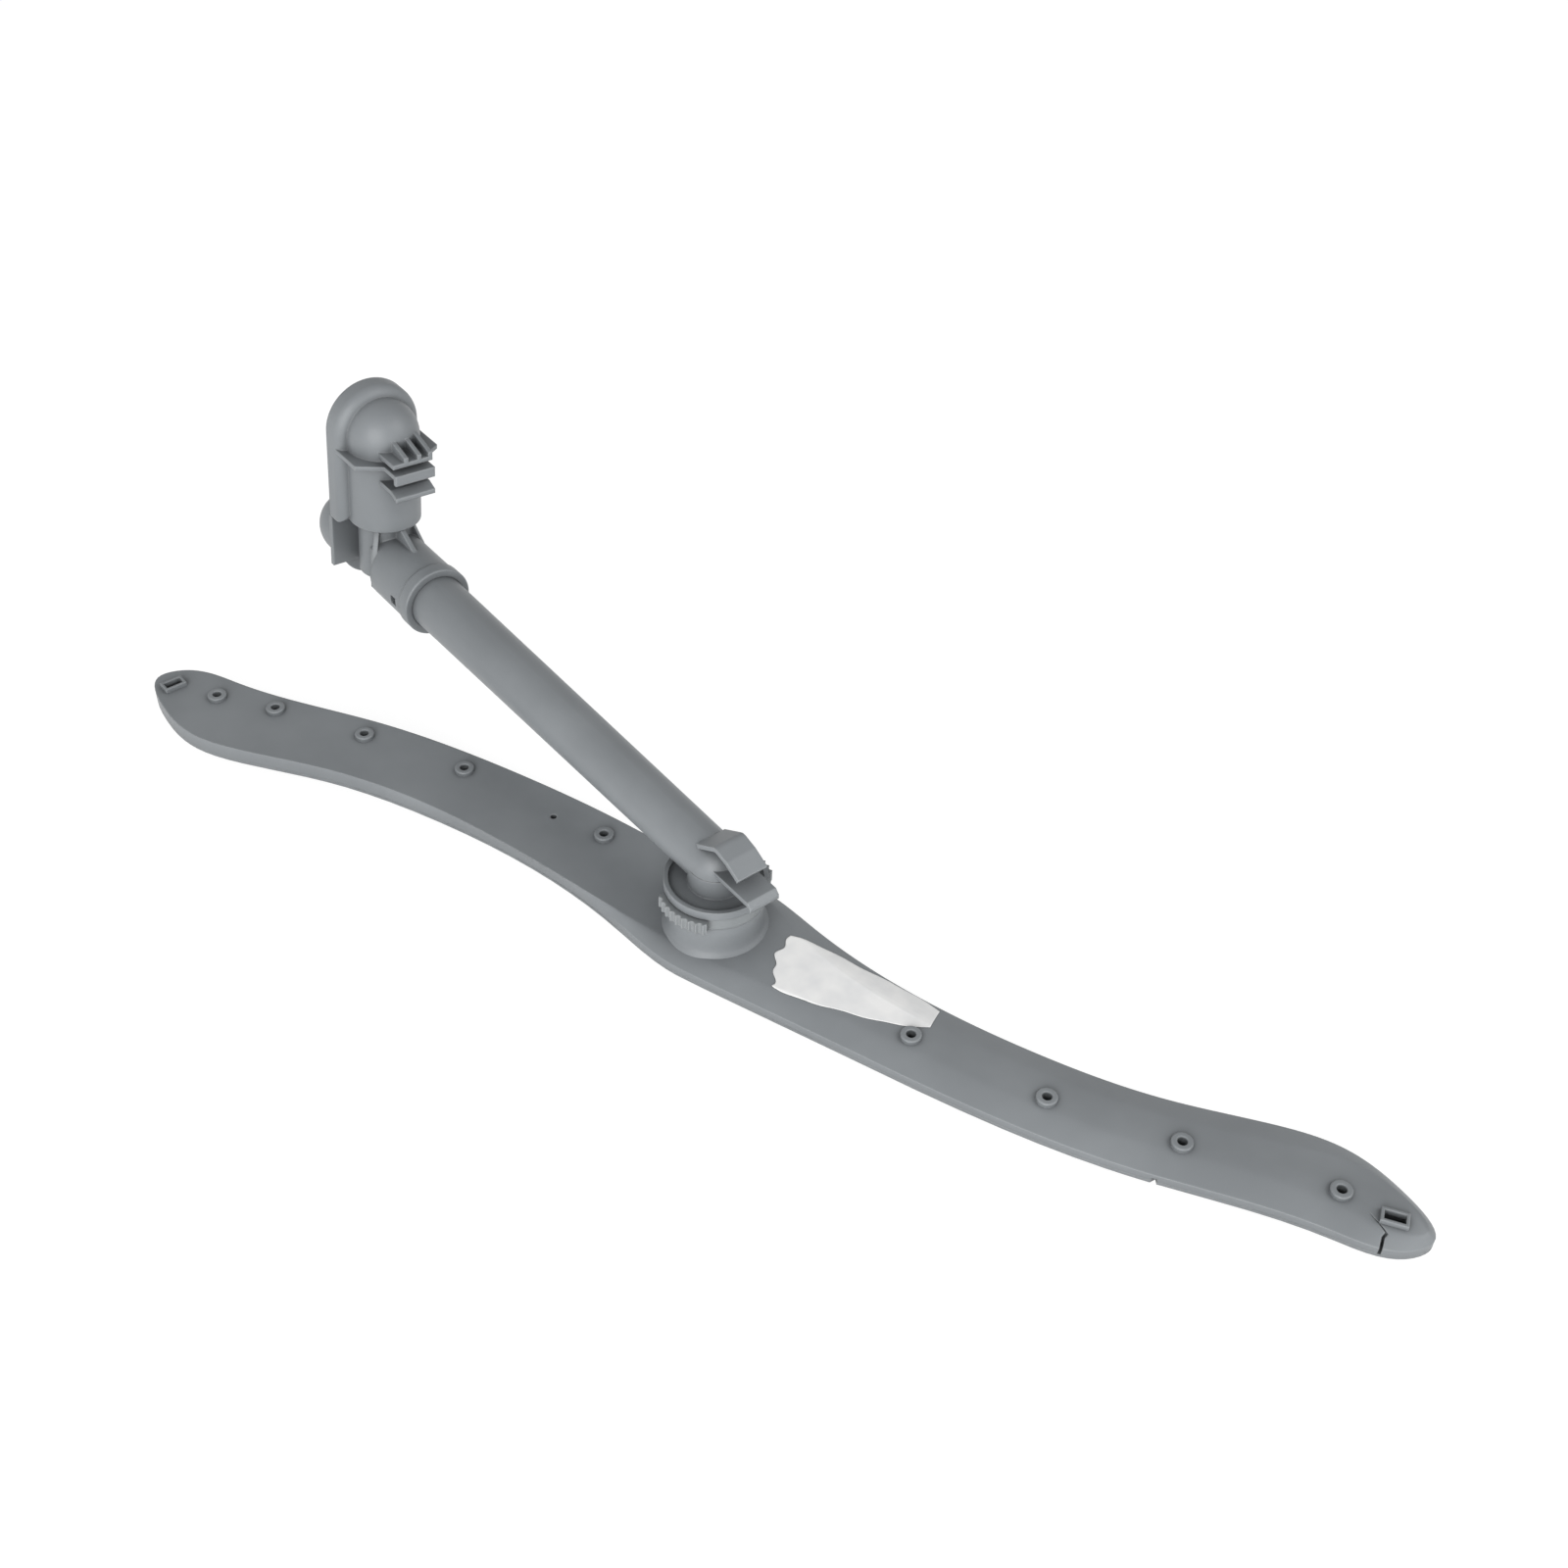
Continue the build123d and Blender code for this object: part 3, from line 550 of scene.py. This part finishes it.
    def tubes(self) -> list[np.ndarray]:
        """Closed tubes of the bell, bosses and slot rims, as loops from the outer foot over the top.

        The bell and the bosses are given by radius and height, and the rims by added width and height.
        """
        bell = np.array([(17.6, -1.6), (17.0, 0.1), (16.3, 0.7), (15.8, 1.7), (15.5, 3.6), (15.3, 7.0),
                         (15.2, 11.2), (14.9, 11.8), (11.8, 11.8), (11.8, 5.5)])
        boss = np.array([(3.3, -1.2), (3.3, 1.3), (3.0, 1.6), (1.7, 1.6), (1.5, 1.4), (1.5, -1.2)])
        rim = np.array([(2.0, -1.2), (2.0, 1.4), (1.8, 1.6), (0.2, 1.6), (0.0, 1.4), (0.0, -1.2)])
        rounds = [(bell, (0.0, 0.0), 128)] + [(boss, place, 40) for place in self.jets]
        tubes = [np.stack([raised(circle(c, r, n), z) for r, z in form]) for form, c, n in rounds]
        long, short = self.slot_size
        for place, turn in self.slots:
            loops = [raised(rectangle(place, (long + w, short + w), turn), z) for w, z in rim]
            tubes.append(np.stack(loops))
        return tubes

    def piece(self, name: str, parts: list[np.ndarray], wrap: bool) -> bpy.types.Object:
        """Make one object of closed shells.

        Args:
            name: Name of the object.
            parts: Loops of each shell, as rings by points by 3, in the arm's axes.
            wrap: Whether a shell is a tube, and otherwise it gets a foot and a lid.

        Returns:
            The linked object.
        """
        points, faces, count = [], [], 0
        for loops in parts:
            rings, sides = loops.shape[:2]
            faces += (ring_faces(rings, sides, wrap) + count).tolist()
            end = count + rings * sides
            if not wrap:
                faces += [list(range(count, count + sides))[::-1], list(range(end - sides, end))]
            points.append(loops.reshape(-1, 3))
            count = end
        return add_piece(name, self.arm.to_model(np.vstack(points)), faces)

    def build(self, plastic: bpy.types.Material) -> bpy.types.Object:
        """Make the shell and its raised details.

        Args:
            plastic: Finish of the arm.

        Returns:
            The shell's object.
        """
        foot = self.level(0.0)
        foot[:, 2] -= self.side_wall
        levels = [self.level(rise) for rise in np.linspace(0, 1, self.shoulder_levels)]
        shell = self.piece("arm_shell", [np.stack([foot] + levels)], False)
        knives = self.piece("knives", self.cutters(), False)
        cut = shell.modifiers.new("cut", "BOOLEAN")
        cut.object = knives
        cut.solver = "EXACT"
        cut.use_self = True
        bake(shell)
        bpy.data.objects.remove(knives)
        details = self.piece("arm_bell_and_bosses", self.tubes(), True)
        for made in (shell, details):
            made.data.materials.clear()
            made.data.materials.append(plastic)
            made.data.shade_smooth()
            made.data.set_sharp_from_angle(angle=math.radians(self.sharp_angle))
            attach(made, Body.ARM.value)
        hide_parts("arm_upper_shell")
        return shell


@dataclass
class Sticker:
    """Blank paper sticker on the arm, with uneven edges, lying on the shell's top."""

    arm: SprayArm
    shell: bpy.types.Object
    near_hub: tuple[float, float] = (28.0, -15.6)
    far_hub: tuple[float, float] = (22.8, 5.6)
    near_tip: tuple[float, float] = (78.3, -6.4)
    far_tip: tuple[float, float] = (77.6, 2.4)
    thickness_mm: float = 0.12
    lift_mm: float = 0.08
    start_mm: float = 6.0
    wave_mm: float = 0.35
    torn_mm: float = 1.1
    near_bow_mm: float = -3.2
    far_bow_mm: float = 2.4
    columns: int = 120
    rows: int = 60

    def grid(self) -> np.ndarray:
        """Work out the flat sheet's points.

        A point is the bilinear mix of the four corners at (u, v), with both long sides bowed outwards
        by 4*u*(1 - u). The sides wave by a sum of two sines that fades towards the middle, and the
        hub's end more so, as an edge that was torn by hand does.

        Returns:
            Array of rows by columns by 3 in the arm's axes, in millimetres.
        """
        u, v = np.meshgrid(np.linspace(0, 1, self.columns), np.linspace(0, 1, self.rows))
        corners = [np.array(c) for c in (self.near_hub, self.near_tip, self.far_hub, self.far_tip)]
        shares = [(1 - u) * (1 - v), u * (1 - v), (1 - u) * v, u * v]
        flat = sum(s[..., None] * c for s, c in zip(shares, corners))
        flat[..., 1] += 4 * u * (1 - u) * (self.near_bow_mm * (1 - v) + self.far_bow_mm * v)
        edge = (2 * v - 1) ** 3
        flat[..., 1] += self.wave_mm * edge * (np.sin(9 * u + 0.4) + 0.5 * np.sin(23 * u))
        torn = (1 - u) ** 4
        flat[..., 0] += self.torn_mm * torn * (np.sin(7 * v + 1.0) + 0.6 * np.sin(19 * v))
        return np.concatenate([flat, np.full(u.shape + (1,), self.start_mm)], axis=-1)

    def build(self, paper: bpy.types.Material) -> bpy.types.Object:
        """Lay the sheet on the shell and give it its thickness.

        Args:
            paper: Finish of the sheet.

        Returns:
            The sticker's object.
        """
        points = self.arm.to_model(self.grid().reshape(-1, 3))
        piece = add_piece("paper_sticker", points, sheet_faces(self.rows, self.columns))
        lay = piece.modifiers.new("lay", "SHRINKWRAP")
        lay.target = self.shell
        lay.wrap_method = "PROJECT"
        lay.use_project_z = True
        lay.use_negative_direction = True
        lay.use_positive_direction = False
        lay.wrap_mode = "ABOVE_SURFACE"
        lay.offset = self.lift_mm * MM
        wall = piece.modifiers.new("wall", "SOLIDIFY")
        wall.thickness = self.thickness_mm * MM
        wall.offset = 1.0
        bake(piece)
        piece.data.materials.clear()
        piece.data.materials.append(paper)
        piece.data.shade_smooth()
        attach(piece, Body.ARM.value)
        return piece


@dataclass
class Studio:
    """Floor, light and camera at the photograph's viewing angle.

    The camera's place is given from the hub, at the arm's top, along and across the arm.
    """

    arm: SprayArm
    along_mm: float = 204.6
    across_mm: float = -367.2
    height_mm: float = 439.3
    heading: float = 116.45
    pitch: float = 42.146
    roll: float = -2.847
    focal_px: float = 1950.07
    image_px: float = 1600.0
    sensor_mm: float = 36.0
    floor_m: float = 6.0
    floor_gap_mm: float = 0.3
    floor_glow: float = 0.8
    floor_white: float = 1.13
    horizon: float = 0.72
    overhead: float = 0.3

    def camera(self) -> None:
        """Place the camera and make it the scene's own."""
        data = bpy.data.cameras.new("camera")
        data.sensor_width = self.sensor_mm
        data.lens = self.focal_px / self.image_px * self.sensor_mm
        data.clip_start = 0.01
        eye = bpy.data.objects.new("camera", data)
        angle = math.radians(self.heading + self.arm.rest_angle)
        pitch, roll = math.radians(self.pitch), math.radians(self.roll)
        level = Vector((math.cos(angle), math.sin(angle), 0))
        right = Vector((level.y, -level.x, 0))
        ahead = level * math.cos(pitch) - Vector((0, 0, math.sin(pitch)))
        up = level * math.sin(pitch) + Vector((0, 0, math.cos(pitch)))
        side = right * math.cos(roll) - up * math.sin(roll)
        top = right * math.sin(roll) + up * math.cos(roll)
        place = self.arm.to_model(np.array([[self.along_mm, self.across_mm, self.height_mm]]))[0]
        turn = Matrix((side, top, -ahead)).transposed()
        eye.matrix_world = Matrix.Translation(Vector(place)) @ turn.to_4x4()
        bpy.context.scene.collection.objects.link(eye)
        bpy.context.scene.camera = eye

    def floor(self) -> None:
        """Lay a pale floor just under the part: white to the camera, with a soft trace of its shadow."""
        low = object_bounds()[0][2] - self.floor_gap_mm * MM
        u, v = np.meshgrid(np.linspace(-1, 1, 3), np.linspace(-1, 1, 3))
        points = np.stack([u * self.floor_m, v * self.floor_m, np.full(u.shape, low)], axis=-1)
        piece = add_piece("floor", points.reshape(-1, 3), sheet_faces(*u.shape))
        material, tree = new_material("white_seamless_paper")
        path = add_node(tree, "ShaderNodeLightPath", {})
        seen = add_node(tree, "ShaderNodeMath",
                        {0: path.outputs["Is Camera Ray"], 1: path.outputs["Is Glossy Ray"]},
                        operation="MAXIMUM")
        share = add_node(tree, "ShaderNodeMath", {0: seen.outputs["Value"], 1: self.floor_glow},
                         operation="MULTIPLY")
        matt = add_node(tree, "ShaderNodeBsdfDiffuse", {"Color": linear("#F4F4F4")})
        white = add_node(tree, "ShaderNodeEmission",
                         {"Color": linear("#FFFFFF"), "Strength": self.floor_white})
        mix = add_node(tree, "ShaderNodeMixShader",
                       {"Fac": share.outputs["Value"],
                        1: matt.outputs["BSDF"], 2: white.outputs["Emission"]})
        add_node(tree, "ShaderNodeOutputMaterial", {"Surface": mix.outputs["Shader"]})
        piece.data.materials.append(material)
        piece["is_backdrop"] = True

    def world(self) -> None:
        """Light from all round, brighter near the horizon than overhead, and white to the camera."""
        world = bpy.data.worlds.new("studio")
        bpy.context.scene.world = world
        world.use_nodes = True
        tree = world.node_tree
        tree.nodes.clear()
        way = add_node(tree, "ShaderNodeTexCoord", {}).outputs["Generated"]
        height = add_node(tree, "ShaderNodeSeparateXYZ", {"Vector": way}).outputs["Z"]
        rise = add_node(tree, "ShaderNodeMapRange",
                        {"Value": height, "From Min": 0.0, "From Max": 0.9,
                         "To Min": self.horizon, "To Max": self.overhead})
        path = add_node(tree, "ShaderNodeLightPath", {})
        strength = add_node(tree, "ShaderNodeMath",
                            {0: path.outputs["Is Camera Ray"], 1: rise.outputs["Result"]},
                            operation="MAXIMUM")
        sky = add_node(tree, "ShaderNodeBackground",
                       {"Color": linear("#FFFFFF"), "Strength": strength.outputs["Value"]})
        add_node(tree, "ShaderNodeOutputWorld", {"Surface": sky.outputs["Background"]})

    def lamp(self, name: str, place_mm: tuple[float, float, float], size_m: float, watts: float) -> None:
        """Hang one square soft box that faces the hub.

        Args:
            name: Name of the lamp.
            place_mm: Its place in the arm's axes.
            size_m: Side of the square.
            watts: Power of the lamp.
        """
        data = bpy.data.lights.new(name, "AREA")
        data.size = size_m
        data.energy = watts
        box = bpy.data.objects.new(name, data)
        place = Vector(self.arm.to_model(np.array([place_mm]))[0])
        aim = self.arm.spin_axis - place
        turn = aim.to_track_quat("-Z", "Y").to_matrix().to_4x4()
        box.matrix_world = Matrix.Translation(place) @ turn
        bpy.context.scene.collection.objects.link(box)

    def build(self) -> None:
        """Set up the floor, the light and the camera."""
        self.floor()
        self.world()
        self.lamp("front_box", (250.0, -1300.0, 600.0), 1.2, 22.0)
        self.lamp("right_box", (1100.0, 300.0, 900.0), 0.9, 7.0)
        self.camera()
        bpy.context.scene.view_settings.view_transform = "Standard"


def dress(frame: dict[str, Any]) -> dict[str, bpy.types.Material]:
    """Give every CAD node the finish of its record slot.

    Args:
        frame: The loaded frame.

    Returns:
        Finish of each slot.
    """
    # Each plastic's fourth colour is the painted highlight on its edges.
    dock = MouldedPlastic("dock_polypropylene", "#777B7E", "#7E8285", "#A6AAAC", edge_mm=1.0)
    pipe = MouldedPlastic("pipe_polypropylene", "#797D80", "#808487", "#A6AAAC")
    arm = MouldedPlastic("arm_polypropylene", "#797D80", "#808487", "#AAAEB0")
    bearing = MouldedPlastic("bearing_acetal", "#7E8284", "#868A8C", "#B4B8BA", roughness=0.36)
    finishes = {
        "dock_plastic": dock.build(),
        "pipe_plastic": pipe.build(),
        "arm_plastic": arm.build(),
        "bearing_plastic": bearing.build(),
        "seal_rubber": SealRubber().build(),
    }
    for row in frame["record"]["subparts"]:
        node = frame["nodes"][row["node"]]
        node.data.materials.clear()
        node.data.materials.append(finishes[row["material_slot"]])
        LOG.info("%s dressed as %s", row["node"], row["material_slot"])
    return finishes


def main() -> None:
    """Load the frame, dress it, add the arm's shell and the sticker, and set up the studio."""
    logging.basicConfig(level=logging.INFO, format="%(message)s")
    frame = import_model()
    finishes = dress(frame)
    arm = SprayArm(frame)
    shell = ArmShell(arm).build(finishes["arm_plastic"])
    sticker = Sticker(arm, shell).build(StickerPaper().build())
    LOG.info("%s rides on %s", sticker.name, Body.ARM.value)
    Studio(arm).build()


if __name__ == "__main__":
    main()
